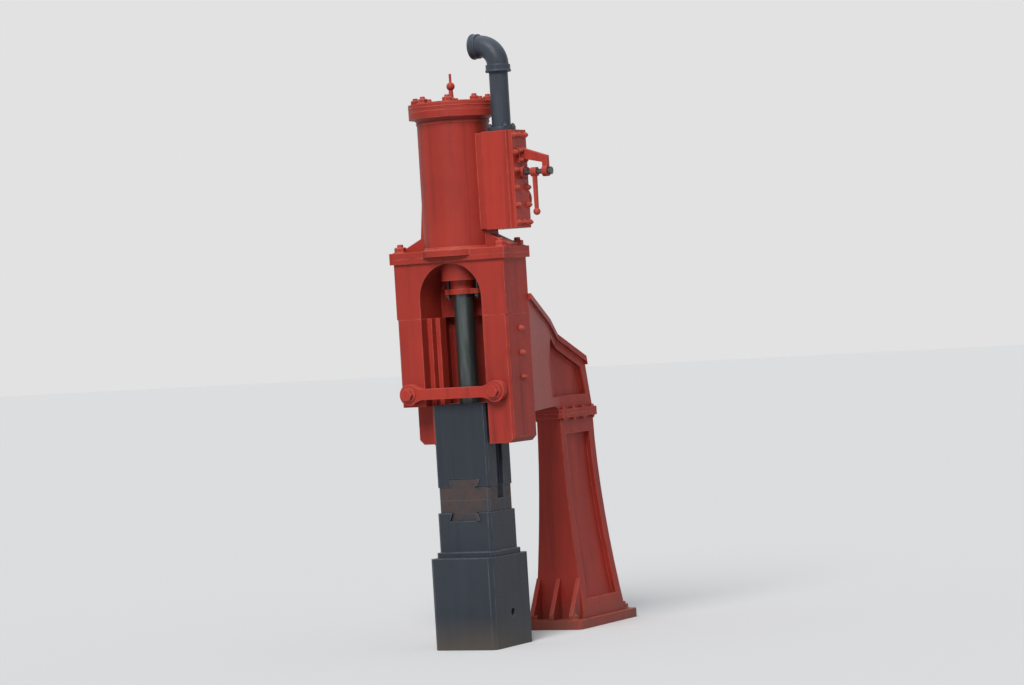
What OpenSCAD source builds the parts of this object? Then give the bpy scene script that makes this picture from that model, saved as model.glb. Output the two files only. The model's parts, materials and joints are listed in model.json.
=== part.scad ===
// Steam hammer with a single standard: a ram that a steam cylinder lifts and drives
// between guides, over an anvil block that stands by itself.
// Millimetres. +Z is up, -Y is the front and +X the side of the steam chest.
// The origin is on the ground under the axis of the ram.

/* [Anvil] */
// Width of the anvil block, left to right
block_w = 330; // [290:5:400]
// Depth of the anvil block, front to back
block_d = 370; // [320:5:430]
// Height of the anvil block
block_h = 430; // [350:10:500]
// Chamfer on the upright edges of the anvil block
block_chamfer = 18; // [8:1:26]
// Radius of the handling hole through the block
block_hole_r = 20; // [14:1:28]
// Height of the handling hole over the ground
block_hole_z = 160; // [120:5:220]
// Height of the cap that carries the lower pallet
cap_h = 210; // [170:5:250]
// Width of the cap, left to right
cap_w = 284; // [260:2:300]
// Depth of the cap, front to back
cap_d = 256; // [240:2:290]
// Thickness of the foot of the cap
cap_foot_h = 25; // [15:1:35]
// How far the foot of the cap stands out round it
cap_foot_out = 12; // [6:1:18]

/* [Pallets] */
// Thickness of each pallet over its root
pallet_h = 60; // [45:1:75]
// Width of each pallet, left to right
pallet_w = 270; // [240:2:276]
// Depth of each pallet, front to back
pallet_d = 224; // [200:2:228]
// Width of the dovetail root at its neck
root_w = 120; // [100:2:140]
// Depth of the dovetail root
root_h = 38; // [30:1:44]
// How far each flank of the root slopes outward
root_slope = 15; // [10:1:20]
// Thickness of the key that holds the root
key_t = 20; // [14:1:24]

/* [Ram] */
// Width of the ram, left to right
ram_w = 280; // [270:2:300]
// Depth of the ram, front to back
ram_d = 230; // [220:2:236]
// Height of the ram
ram_h = 390; // [350:5:430]
// How far the ram rises
stroke = 400; // [340:5:420]
// Depth of the guide grooves in the sides of the ram
groove_depth = 22; // [16:1:28]
// Radius of the piston rod
rod_r = 47.5; // [42:0.5:50]
// Depth of the rod's socket in the ram
socket_h = 150; // [120:5:180]
// Thickness of the piston
piston_h = 80; // [70:2:95]
// Radius of the rod's end in the piston
rod_end_r = 34; // [28:1:38]

/* [Guides] */
// How far the jaws reach down past the top of the resting ram
jaw_overlap = 190; // [150:5:230]
// Width of each jaw, left to right
jaw_w = 130; // [110:2:145]
// Front face of the jaws, ahead of the ram's axis
housing_front = 127; // [125:1:135]
// Back face of the jaws, behind the ram's axis
housing_back = 95; // [92:1:105]
// Thickness of each guide strip without its tongue
strip_t = 24; // [18:1:30]
// Depth of each guide strip, front to back
strip_d = 140; // [120:2:160]
// Width of the tongue that runs in the ram's groove
tongue_w = 60; // [46:1:70]
// Running clearance between the ram and its guides
guide_gap = 1; // [0.5:0.1:1.5]
// Height of the head that joins the jaws
head_h = 285; // [280:1:295]
// Height of the head's straight sides under its arch
arch_spring = 88; // [78:1:91]
// Thickness of the head's back wall
head_wall = 15; // [10:1:17]
// Thickness of the flange on top of the head
head_flange_h = 24; // [18:1:30]
// How far that flange stands out round the head
head_flange_out = 14; // [8:1:20]
// Height of the crossbar over the bottom of the jaws
crossbar_up = 245; // [220:5:270]
// Height of the crossbar between its eyes
crossbar_h = 52; // [44:1:62]
// Thickness of the crossbar, front to back
crossbar_t = 45; // [36:1:54]
// Radius of the eyes at the ends of the crossbar
crossbar_eye_r = 50; // [42:1:56]
// Radius of the crossbar's bolts
crossbar_bolt_r = 15; // [12:0.5:18]
// How far the front of the left jaw stops short of the right jaw's foot
left_jaw_short = 185; // [150:5:190]
// Front face of the left jaw's rear part, behind the ram's axis
left_rear_y = 20; // [10:1:30]

/* [Cylinder] */
// Radius of the bore
bore_r = 130; // [120:1:136]
// Outer radius of the barrel
barrel_r = 170; // [164:1:178]
// How far the top flange and the cover stand out round the barrel
top_flange_out = 36; // [30:1:40]
// Thickness of the top flange
top_flange_h = 35; // [28:1:42]
// How far the round part of the base flange stands out round the barrel
base_flange_out = 20; // [14:1:28]
// Thickness of the base flange
base_flange_h = 30; // [24:1:38]
// Thickness of the cylinder's floor
cylinder_floor = 65; // [58:1:75]
// Room under the piston when the ram rests
piston_low = 88; // [80:1:100]
// Room over the piston when the ram is up
piston_high = 52; // [40:1:70]
// Thickness of the cover
cover_h = 35; // [28:1:42]
// Radius of the raised middle of the cover
cover_boss_r = 118; // [100:1:130]
// Height of the raised middle of the cover
cover_boss_h = 10; // [6:1:16]
// Height of the cock on the cover
cock_h = 130; // [110:2:150]
// Radius of the cock's ball
cock_ball_r = 20; // [16:1:24]
// Height of the side ribs on the barrel
rib_h = 260; // [220:5:290]
// Thickness of the side ribs on the barrel
rib_t = 90; // [70:2:110]

/* [Gland] */
// Outer radius of the stuffing box
box_r = 98; // [94:1:100]
// How far the stuffing box hangs under the cylinder
box_drop = 115; // [108:1:120]
// Radius of the flange that holds the stuffing box
box_flange_r = 118; // [114:1:122]
// Thickness of that flange
box_flange_h = 20; // [14:1:26]
// Radius of the gland's sleeve
gland_r = 57; // [54:0.5:60]
// Gap between the gland's flange and the stuffing box
gland_gap = 40; // [34:1:46]
// Thickness of the gland's oval flange
oval_h = 25; // [20:1:28]
// Distance of the gland studs from the axis
stud_x = 78; // [76:1:82]
// Radius of the gland studs
stud_r = 8; // [6:0.5:10]

/* [Steam chest] */
// How far the port face stands out from the barrel
port_out = 20; // [14:1:28]
// Height of the chest over the head
chest_up = 112; // [108:1:140]
// Height of the chest
chest_h = 458; // [430:2:470]
// Width of the chest, left to right
chest_w = 140; // [134:1:160]
// Depth of the chest, front to back
chest_d = 150; // [136:2:164]
// Thickness of the chest's cover
chest_cover_t = 18; // [12:1:24]
// Radius of the steam pipe
pipe_r = 44.5; // [38:0.5:48]
// Wall of the steam pipe
pipe_wall = 5.5; // [3:0.5:7]
// Radius of the pipe's flange on the chest
pipe_flange_r = 66; // [62:1:67]
// Thickness of the pipe's flange
pipe_flange_h = 18; // [12:1:24]
// Height of the elbow's mouth over the cylinder's cover
elbow_up = 255; // [235:5:300]
// Bend radius of the elbow
elbow_bend = 95; // [85:1:110]
// Outer radius of the elbow's collars
collar_r = 58; // [54:1:62]
// Length of the elbow's collars
collar_h = 34; // [26:1:40]

/* [Valve gear] */
// Height of the valve spindle over the bottom of the chest
spindle_up = 256; // [235:1:280]
// Radius of the valve spindle
spindle_r = 12; // [9:0.5:15]
// Length of the bearing on the chest's cover
bearing_l = 24; // [18:1:32]
// Distance of the lever from the chest's cover
lever_out = 72; // [60:1:84]
// Length of the hand lever
lever_l = 185; // [150:5:210]
// Distance of the bracket's boss from the chest's cover
boss_out = 120; // [114:1:140]
// Width of the bracket's boss
boss_w = 26; // [20:1:34]

/* [Standard] */
// Distance from the ram's axis to the back of the foot plate
standard_reach = 1290; // [1250:5:1330]
// Depth of the column at its neck
neck_d = 350; // [320:5:380]
// Width of the column at its neck
neck_w = 130; // [110:2:160]
// Depth of the column at its foot
shank_d = 435; // [410:5:450]
// Width of the column at its foot
shank_w = 276; // [250:2:300]
// Height of the joint between the column and the arm
joint_z = 1050; // [1000:10:1080]
// Thickness of each joint flange
joint_flange_h = 20; // [14:1:28]
// How far the joint flanges stand out
joint_flange_out = 20; // [12:1:28]
// Width of the foot plate, left to right
foot_w = 340; // [320:2:380]
// Depth of the foot plate, front to back
foot_d = 620; // [600:5:660]
// Thickness of the foot plate
foot_h = 45; // [34:1:56]
// How far the foot plate reaches ahead of the column
foot_ahead = 110; // [100:1:120]
// Distance across the foot bolts, left to right
foot_bolt_x = 220; // [200:2:240]
// Distance of the foot bolts from the plate's ends
foot_bolt_edge = 38; // [32:1:44]
// Radius of the foot bolts' holes
foot_bolt_r = 14; // [11:0.5:16]
// Height of the ribs at the column's foot
foot_rib_h = 200; // [160:5:230]
// Thickness of the ribs at the column's foot
foot_rib_t = 22; // [16:1:28]
// Height of the underside of the arm over the joint
throat_up = 45; // [35:1:60]
// Height of the arm's top at the head, over the joint of head and jaws
arm_top_up = 90; // [80:1:110]
// Height of the arm's top over the joint at its back
arm_back_up = 275; // [250:5:300]
// Depth of the panels in the sides of the standard
panel_depth = 24; // [16:1:30]
// Border left round the panels
panel_border = 42; // [34:1:50]
// How far the flange along the arm's top stands out
arm_flange_out = 16; // [10:1:24]
// Thickness of the flange along the arm's top
arm_flange_h = 28; // [20:1:36]

/* [Hidden] */
// Gap left between pieces that lie on each other where they slope or are round
seat = 0.3;
// Running clearance of a shaft in its bore, on the radius
fit = 0.06;
// Overshoot of a cut past a face
past = 1;
// Room between the raised ram and the head, and behind the ram in the arm's channel
ram_clear = 10;
channel_clear = 25;
ram_chamfer = 10;
anvil_top = block_h + cap_h;
strike_z = anvil_top + pallet_h;
ram_bottom = strike_z + seat + pallet_h;
ram_top = ram_bottom + ram_h;
jaw_bottom = ram_top - jaw_overlap;
head_z = ram_top + stroke + ram_clear;
head_top = head_z + head_h;
strip_x = ram_w / 2 + guide_gap;
jaw_x = strip_x + strip_t;
housing_x = jaw_x + jaw_w;
housing_d = housing_front + housing_back;
bore_z = head_top + cylinder_floor;
piston_z = bore_z + piston_low;
barrel_top = piston_z + piston_h + stroke + piston_high;
cover_top = barrel_top + cover_h;
top_flange_r = barrel_r + top_flange_out;
base_flange_r = barrel_r + base_flange_out;
port_x = barrel_r + port_out;
chest_z = head_top + chest_up;
chest_top = chest_z + chest_h;
chest_x = port_x + chest_w;
cover_x = chest_x + chest_cover_t;
pipe_x = max(port_x + chest_w / 2, top_flange_r + pipe_r + 8);
elbow_z = cover_top + elbow_up;
elbow_mouth_x = pipe_x - elbow_bend - collar_h;
spindle_z = chest_z + spindle_up;
gland_top = head_top - box_drop - gland_gap;
crossbar_z = jaw_bottom + crossbar_up;
crossbar_eye_x = jaw_x + jaw_w / 2;
foot_back = standard_reach;
foot_front = foot_back - foot_d;
column_front = foot_front + foot_ahead;
column_back = column_front + shank_d;
neck_back = column_front + neck_d;
throat_z = joint_z + throat_up;
arm_top = head_z + arm_top_up;
arm_back_z = joint_z + arm_back_up;
arm_bottom = joint_z + joint_flange_h;
arm_run = column_front - housing_back;
arm_rise = arm_top - arm_back_z;
arm_knee_y = housing_back + 0.48 * (neck_back - housing_back);
arm_knee_z = arm_back_z + 0.6 * arm_rise;
arm_back_y = neck_back - 0.17 * neck_d;
rib_foot_y = column_front - 0.25 * arm_run;
rib_lean = 0.09 * arm_run;
rib_knee_z = throat_z + 0.36 * (arm_top - throat_z);
key_drop = 2;

// Box between two opposite corners
module block(low, high) {
    translate(low) cube(high - low);
}

// Outline with chamfered corners, centred left to right, between two depths
module chamfered(width, front, back, chamfer) {
    polygon([
        [-width / 2 + chamfer, front], [width / 2 - chamfer, front],
        [width / 2, front + chamfer], [width / 2, back - chamfer],
        [width / 2 - chamfer, back], [-width / 2 + chamfer, back],
        [-width / 2, back - chamfer], [-width / 2, front + chamfer]
    ]);
}

// Extrusion along X of an outline drawn in Y and Z, centred on X = 0
module side_prism(width) {
    translate([-width / 2, 0, 0]) rotate([90, 0, 90]) linear_extrude(width) children();
}

// Extrusion along Y of an outline drawn in X and Z, between two depths
module front_prism(front, back) {
    translate([0, back, 0]) rotate([90, 0, 0]) linear_extrude(back - front) children();
}

// Shaft along X between two places
module shaft_x(from, to, radius, height, sides = 48) {
    translate([from, 0, height]) rotate([0, 90, 0]) cylinder(h = to - from, r = radius, $fn = sides);
}

// Shaft along Y between two places
module shaft_y(from, to, radius, across, height, sides = 32) {
    translate([across, from, height]) rotate([-90, 0, 0]) cylinder(h = to - from, r = radius, $fn = sides);
}

// Dovetail root that hangs down from the origin
module root_outline() {
    polygon([
        [-root_w / 2, 0], [root_w / 2, 0],
        [root_w / 2 + root_slope, -root_h], [-root_w / 2 - root_slope, -root_h]
    ]);
}

// Slot for the root and its key, open at the top
module slot_outline() {
    right = root_w / 2 + key_t + 2 * seat;
    rise = root_slope / root_h;
    polygon([
        [-root_w / 2 - seat + rise * past, past], [right - rise * past, past],
        [right + root_slope + rise * seat, -root_h - seat],
        [-root_w / 2 - root_slope - seat - rise * seat, -root_h - seat]
    ]);
}

// Key between the right flank of the root and the slot
module key_outline() {
    left = root_w / 2 + seat;
    rise = root_slope / root_h;
    polygon([
        [left + rise * key_drop, -key_drop], [left + key_t + rise * key_drop, -key_drop],
        [left + key_t + root_slope, -root_h], [left + root_slope, -root_h]
    ]);
}

// Oval flange outline round a sleeve, with an eye for a stud on each side
module oval_outline(sleeve_r) {
    eye_r = stud_r + 12;
    circle(r = sleeve_r, $fn = 64);
    for (side = [-1, 1]) translate([side * stud_x, 0]) circle(r = eye_r, $fn = 32);
    for (side = [-1, 1])
        polygon([[0, side * sleeve_r * 0.98], [side * stud_x, side * eye_r * 0.9],
            [side * stud_x, -side * eye_r * 0.9], [0, -side * sleeve_r * 0.98],
            [-side * stud_x, -side * eye_r * 0.9], [-side * stud_x, side * eye_r * 0.9]]);
}

// Anvil block: a plain casting with a handling hole through it
module anvil_block() {
    color("slategray") difference() {
        linear_extrude(block_h) chamfered(block_w, -block_d / 2, block_d / 2, block_chamfer);
        shaft_x(-block_w / 2 - past, block_w / 2 + past, block_hole_r, block_hole_z);
    }
}

// Cap on the block, with a foot and a dovetail slot from front to back
module anvil_cap() {
    foot_w_all = cap_w + 2 * cap_foot_out;
    foot_d_half = cap_d / 2 + cap_foot_out;
    color("slategray") translate([0, 0, block_h]) difference() {
        union() {
            linear_extrude(cap_h) chamfered(cap_w, -cap_d / 2, cap_d / 2, 12);
            linear_extrude(cap_foot_h) chamfered(foot_w_all, -foot_d_half, foot_d_half, 14);
        }
        translate([0, 0, cap_h]) front_prism(-cap_d / 2 - past, cap_d / 2 + past) slot_outline();
    }
}

// A pallet with its root hanging down, its top face at the height of its thickness
module pallet_shape() {
    linear_extrude(pallet_h) chamfered(pallet_w, -pallet_d / 2, pallet_d / 2, 10);
    front_prism(-pallet_d / 2, pallet_d / 2) union() {
        root_outline();
        translate([-root_w / 2, -past / 2]) square([root_w, past]);
    }
}

module anvil_pallet() {
    color("dimgray") translate([0, 0, anvil_top]) pallet_shape();
}

module anvil_key() {
    color("dimgray") translate([0, 0, anvil_top])
        front_prism(-cap_d / 2 - 8, cap_d / 2 + 8) key_outline();
}

// The two guide grooves of the ram, as cuts between two heights
module guide_grooves(low, high) {
    half = tongue_w / 2 + guide_gap;
    floor_x = ram_w / 2 - groove_depth;
    block([floor_x, -half, low], [ram_w / 2 + past, half, high]);
    block([-ram_w / 2 - past, -half, low], [-floor_x, half, high]);
}

// Ram: a block with a guide groove in each side, a slot below and the rod's socket above
module ram() {
    color("slategray") difference() {
        translate([0, 0, ram_bottom]) linear_extrude(ram_h)
            chamfered(ram_w, -ram_d / 2, ram_d / 2, ram_chamfer);
        guide_grooves(ram_bottom - past, ram_top + past);
        translate([0, 0, ram_bottom]) mirror([0, 0, 1])
            front_prism(-ram_d / 2 - past, ram_d / 2 + past) slot_outline();
        translate([0, 0, ram_top - socket_h])
            cylinder(h = socket_h + past, r = rod_r + fit, $fn = 64);
    }
}

// Upper pallet: grooved like the ram, so that it passes the guides' tongues
module ram_pallet() {
    color("dimgray") difference() {
        translate([0, 0, ram_bottom]) mirror([0, 0, 1]) pallet_shape();
        guide_grooves(ram_bottom - pallet_h - past, ram_bottom + past);
    }
}

module ram_key() {
    color("dimgray") translate([0, 0, ram_bottom]) mirror([0, 0, 1])
        front_prism(-ram_d / 2 - 6, ram_d / 2 + 6) key_outline();
}

// Rod from the ram's socket to the top of the piston, turned down where the piston sits
module piston_rod() {
    low = ram_top - socket_h;
    color("silver") {
        translate([0, 0, low]) cylinder(h = piston_z - low, r = rod_r, $fn = 64);
        translate([0, 0, piston_z - past]) cylinder(h = piston_h + past, r = rod_end_r, $fn = 64);
    }
}

// Piston with two ring grooves
module piston() {
    ring_h = 10;
    ring_d = 5;
    color("silver") translate([0, 0, piston_z]) difference() {
        cylinder(h = piston_h, r = bore_r - 0.1, $fn = 96);
        translate([0, 0, -past]) cylinder(h = piston_h + 2 * past, r = rod_end_r + fit, $fn = 64);
        for (up = [piston_h / 3, 2 * piston_h / 3]) translate([0, 0, up - ring_h / 2]) difference() {
            cylinder(h = ring_h, r = bore_r + past, $fn = 96);
            translate([0, 0, -past]) cylinder(h = ring_h + 2 * past, r = bore_r - ring_d, $fn = 96);
        }
    }
}

// One jaw of the guides, on the right: bevelled at its foot, bored for the crossbar's bolt
module jaw() {
    bevel = 24;
    color("firebrick") difference() {
        block([jaw_x, -housing_front, jaw_bottom], [housing_x, housing_back, head_z]);
        translate([jaw_x + jaw_w / 2, 0, jaw_bottom])
            front_prism(-housing_front - past, housing_back + past)
                polygon([[jaw_w / 2 - bevel, -past], [jaw_w / 2 + past, -past], [jaw_w / 2 + past, bevel]]);
        translate([housing_x, -housing_front, jaw_bottom - past]) rotate([0, 0, 45])
            translate([-7, -7, 0]) cube([14, 14, head_z - jaw_bottom + 2 * past]);
        shaft_y(-housing_front - past, 40, crossbar_bolt_r + fit, crossbar_eye_x, crossbar_z);
    }
}

module right_jaw() {
    jaw();
}

// Left jaw: its front part ends under the crossbar, and only its rear part reaches the foot
module left_jaw() {
    color("firebrick") difference() {
        mirror([1, 0, 0]) jaw();
        block([-housing_x - past, -housing_front - past, jaw_bottom - past],
            [-jaw_x + past, left_rear_y, jaw_bottom + left_jaw_short]);
    }
}

// Guide strip on a jaw's inner face, with the tongue that runs in the ram's groove
module guide_strip() {
    tip = ram_w / 2 - groove_depth + 2 * guide_gap;
    color("indianred") {
        block([strip_x, -strip_d / 2, jaw_bottom], [jaw_x, strip_d / 2, head_z]);
        block([tip, -tongue_w / 2, jaw_bottom], [strip_x + past, tongue_w / 2, head_z]);
    }
}

module right_guide() {
    guide_strip();
}

module left_guide() {
    mirror([1, 0, 0]) guide_strip();
}

// Round pot from the origin upward, cut flat at the back at a depth
module pot(height, radius, back) {
    intersection() {
        cylinder(h = height, r = radius, $fn = 64);
        translate([-2 * radius, -2 * radius, -past])
            cube([4 * radius, 2 * radius + back, height + 2 * past]);
    }
}

// Head over the jaws: an arched window in front, a thin back wall and a flange on top
module guide_head() {
    out = head_flange_out;
    color("firebrick") difference() {
        union() {
            block([-housing_x, -housing_front, head_z], [housing_x, housing_back, head_top]);
            block([-housing_x - out, -housing_front - out, head_top - head_flange_h],
                [housing_x + out, housing_back + out, head_top]);
        }
        front_prism(-housing_front - out - past, housing_back - head_wall) {
            translate([-jaw_x, head_z - past]) square([2 * jaw_x, arch_spring + past]);
            translate([0, head_z + arch_spring]) circle(r = jaw_x, $fn = 96);
        }
        translate([0, 0, head_z]) pot(head_h + past, box_r + seat, housing_back - head_wall);
    }
}

// Crossbar that ties the jaws in front, with an eye at each end
module crossbar() {
    back = -housing_front;
    front = back - crossbar_t;
    color("indianred") difference() {
        union() {
            block([-crossbar_eye_x, front, crossbar_z - crossbar_h / 2],
                [crossbar_eye_x, back, crossbar_z + crossbar_h / 2]);
            for (side = [-1, 1]) {
                shaft_y(front, back, crossbar_eye_r, side * crossbar_eye_x, crossbar_z, 64);
                front_prism(front, back) translate([side * crossbar_eye_x, crossbar_z]) polygon([
                    [0, 0.94 * crossbar_eye_r], [0, -0.94 * crossbar_eye_r],
                    [-side * 90, 8 - crossbar_h / 2], [-side * 90, crossbar_h / 2 - 8]
                ]);
            }
        }
        for (side = [-1, 1])
            shaft_y(front - past, back + past, crossbar_bolt_r + fit, side * crossbar_eye_x, crossbar_z);
    }
}

// The two bolts of the crossbar, with their washers and heads
module crossbar_bolts() {
    face = -housing_front - crossbar_t;
    color("indianred") for (side = [-1, 1]) {
        shaft_y(face - past, 38, crossbar_bolt_r, side * crossbar_eye_x, crossbar_z);
        shaft_y(face - 6, face, 2.4 * crossbar_bolt_r, side * crossbar_eye_x, crossbar_z);
        shaft_y(face - 6 - 1.4 * crossbar_bolt_r, face - 5, 1.9 * crossbar_bolt_r,
            side * crossbar_eye_x, crossbar_z, 6);
    }
}

// Outline of the base flange: the head's rectangle and a round part under the barrel
module base_outline() {
    out = head_flange_out;
    translate([-housing_x - out, -housing_front - out])
        square([2 * (housing_x + out), housing_d + 2 * out]);
    circle(r = base_flange_r, $fn = 96);
}

// Cylinder: barrel, flanges, a floor, side ribs and the flat face for the steam chest
module cylinder_body() {
    port_d = chest_d - 10;
    rib_reach = housing_x + head_flange_out - 20;
    linear_extrude(base_flange_h) base_outline();
    cylinder(h = barrel_top - head_top, r = barrel_r, $fn = 96);
    translate([0, 0, barrel_top - head_top - top_flange_h])
        cylinder(h = top_flange_h, r = top_flange_r, $fn = 96);
    translate([0, 0, barrel_top - head_top - top_flange_h - 16])
        cylinder(h = 16, r1 = barrel_r, r2 = barrel_r + 14, $fn = 96);
    block([0, -port_d / 2, chest_up + 5], [port_x, port_d / 2, chest_up + chest_h - 5]);
    front_prism(-rib_t / 2, rib_t / 2) for (side = [-1, 1]) polygon([
        [side * (barrel_r - 20), base_flange_h - past],
        [side * rib_reach, base_flange_h - past], [side * rib_reach, base_flange_h + 12],
        [side * (port_x - 4), base_flange_h + 0.24 * rib_h],
        [side * (barrel_r - 4), base_flange_h + rib_h], [side * (barrel_r - 20), base_flange_h + rib_h]
    ]);
}

// Cylinder: the casting with its bore, and the recess for the stuffing box under its floor
module cylinder_node() {
    color("firebrick") translate([0, 0, head_top]) difference() {
        cylinder_body();
        translate([0, 0, cylinder_floor]) cylinder(h = barrel_top - head_top, r = bore_r, $fn = 96);
        translate([0, 0, -past]) cylinder(h = box_flange_h + seat + past, r = box_flange_r + seat, $fn = 64);
        translate([0, 0, -past]) cylinder(h = cylinder_floor + 2 * past, r = rod_r + 4, $fn = 64);
    }
}

// Cover bolted on the top flange, raised in the middle
module cylinder_cover() {
    color("firebrick") translate([0, 0, barrel_top]) {
        cylinder(h = cover_h, r = top_flange_r, $fn = 96);
        cylinder(h = cover_h + cover_boss_h, r = cover_boss_r, $fn = 96);
    }
}

// Small cock turned with a ball on a stem, in the middle of the cover
module drain_cock() {
    foot_r = 1.1 * cock_ball_r;
    stem_r = 0.3 * cock_ball_r;
    ball_z = 0.54 * cock_h;
    color("indianred") translate([0, 0, cover_top + cover_boss_h]) rotate_extrude($fn = 48)
        polygon(concat(
            [[0, 0], [foot_r, 0], [foot_r, 0.09 * cock_h], [0.6 * cock_ball_r, 0.14 * cock_h]],
            [for (a = [-60 : 15 : 60]) [cock_ball_r * cos(a), ball_z + cock_ball_r * sin(a)]],
            [[stem_r, ball_z + cock_ball_r], [stem_r, cock_h], [0, cock_h]]));
}

// Stuffing box: a pot under the cylinder, held by its flange between head and cylinder
module stuffing_box() {
    color("firebrick") translate([0, 0, head_top]) difference() {
        union() {
            cylinder(h = box_flange_h, r = box_flange_r, $fn = 64);
            translate([0, 0, -box_drop]) pot(box_drop + past, box_r, housing_back - head_wall - seat);
        }
        translate([0, 0, -box_drop - past])
            cylinder(h = box_drop + box_flange_h + 2 * past, r = rod_r + fit, $fn = 64);
        translate([0, 0, -box_drop - past]) cylinder(h = 30 + past, r = gland_r + seat, $fn = 64);
        for (side = [-1, 1]) translate([side * stud_x, 0, -box_drop - past])
            cylinder(h = 18 + past, r = stud_r + fit, $fn = 32);
    }
}

// Gland: an oval flange with a sleeve that enters the stuffing box
module gland() {
    color("indianred") translate([0, 0, gland_top]) difference() {
        union() {
            translate([0, 0, -oval_h]) linear_extrude(oval_h) oval_outline(gland_r + 7);
            translate([0, 0, -past]) cylinder(h = gland_gap + 25 + past, r = gland_r, $fn = 64);
        }
        translate([0, 0, -oval_h - past])
            cylinder(h = oval_h + gland_gap + 25 + 2 * past, r = rod_r + fit, $fn = 64);
        for (side = [-1, 1]) translate([side * stud_x, 0, -oval_h - past])
            cylinder(h = oval_h + 2 * past, r = stud_r + fit, $fn = 32);
    }
}

// Two studs that draw the gland up, with a nut under its flange
module gland_studs() {
    nut_h = 14;
    color("silver") for (side = [-1, 1]) translate([side * stud_x, 0, gland_top - oval_h]) {
        translate([0, 0, -nut_h - 8])
            cylinder(h = nut_h + 8 + oval_h + gland_gap + 16, r = stud_r, $fn = 32);
        translate([0, 0, -nut_h]) cylinder(h = nut_h, r = 1.9 * stud_r, $fn = 6);
    }
}

// Steam chest on the flat face of the barrel
module valve_chest() {
    color("brown") difference() {
        translate([port_x, 0, chest_z]) linear_extrude(chest_h)
            polygon([[0, -chest_d / 2], [chest_w, -chest_d / 2], [chest_w, chest_d / 2], [0, chest_d / 2]]);
        translate([port_x + chest_w, -chest_d / 2, chest_z - past]) rotate([0, 0, 45])
            translate([-8, -8, 0]) cube([16, 16, chest_h + 2 * past]);
        translate([port_x + 25, -chest_d / 2 + 25, chest_z + 25])
            cube([chest_w - 25 + past, chest_d - 50, chest_h - 50]);
        translate([pipe_x, 0, chest_top - 26]) cylinder(h = 26 + past, r = pipe_r - pipe_wall, $fn = 48);
    }
}

// Cover of the chest, with the spindle's bearing
module chest_cover() {
    color("brown") difference() {
        union() {
            block([chest_x, -chest_d / 2 + 6, chest_z], [cover_x, chest_d / 2 - 6, chest_top]);
            shaft_x(cover_x - past, cover_x + bearing_l, 2.4 * spindle_r, spindle_z);
        }
        shaft_x(chest_x - past, cover_x + bearing_l + past, spindle_r + fit, spindle_z);
    }
}

// Steam pipe that rises from the chest, with its flange
module steam_riser() {
    low = chest_top;
    high = elbow_z - elbow_bend;
    color("dimgray") translate([pipe_x, 0, low]) difference() {
        union() {
            cylinder(h = pipe_flange_h, r = pipe_flange_r, $fn = 48);
            cylinder(h = high - low, r = pipe_r, $fn = 48);
        }
        translate([0, 0, -past]) cylinder(h = high - low + 2 * past, r = pipe_r - pipe_wall, $fn = 48);
    }
}

// Elbow at the top of the pipe, with a collar and a socket at each end
module steam_elbow() {
    body_r = collar_r - 7;
    color("dimgray") difference() {
        union() {
            translate([pipe_x - elbow_bend, 0, elbow_z - elbow_bend]) rotate([90, 0, 0])
                rotate_extrude(angle = 90, $fn = 64) translate([elbow_bend, 0]) circle(r = body_r, $fn = 48);
            translate([pipe_x, 0, elbow_z - elbow_bend - collar_h])
                cylinder(h = collar_h + 0.5, r = collar_r, $fn = 48);
            shaft_x(elbow_mouth_x, elbow_mouth_x + collar_h + 0.5, collar_r, elbow_z);
        }
        translate([pipe_x - elbow_bend, 0, elbow_z - elbow_bend]) rotate([90, 0, 0])
            rotate_extrude(angle = 90, $fn = 64) translate([elbow_bend, 0])
                circle(r = pipe_r - pipe_wall, $fn = 48);
        translate([pipe_x, 0, elbow_z - elbow_bend - collar_h - past])
            cylinder(h = collar_h + past, r = pipe_r + fit, $fn = 48);
        shaft_x(elbow_mouth_x - past, elbow_mouth_x + collar_h, pipe_r + fit, elbow_z);
    }
}

// Exhaust branch on the back of the chest: a short pipe with a flange
module exhaust_branch() {
    branch_z = chest_z + chest_h * 0.3;
    color("brown") difference() {
        union() {
            shaft_y(chest_d / 2, chest_d / 2 + 60, 46, port_x + chest_w / 2, branch_z, 48);
            shaft_y(chest_d / 2 + 44, chest_d / 2 + 60, 66, port_x + chest_w / 2, branch_z, 48);
        }
        shaft_y(chest_d / 2 - past, chest_d / 2 + 60 + past, 38, port_x + chest_w / 2, branch_z, 48);
    }
}

// Valve spindle across the cover's bearing and the bracket's boss
module valve_spindle() {
    end = cover_x + boss_out + boss_w;
    color("silver") {
        shaft_x(chest_x + past, end + 16, spindle_r, spindle_z);
        shaft_x(end + 5, end + 16, 1.5 * spindle_r, spindle_z);
    }
}

// Hand lever on the spindle, hanging down to its ball
module hand_lever() {
    hub_w = 30;
    hub_r = 1.8 * spindle_r;
    ball_r = 17;
    mid = cover_x + lever_out;
    color("indianred") difference() {
        union() {
            shaft_x(mid - hub_w / 2, mid + hub_w / 2, hub_r, spindle_z);
            translate([mid, 0, spindle_z]) side_prism(14)
                polygon([[-13, 0], [-8, -lever_l], [8, -lever_l], [13, 0]]);
            translate([mid, 0, spindle_z - lever_l]) sphere(r = ball_r, $fn = 48);
        }
        shaft_x(mid - hub_w / 2 - past, mid + hub_w / 2 + past, spindle_r + fit, spindle_z);
    }
}

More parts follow.
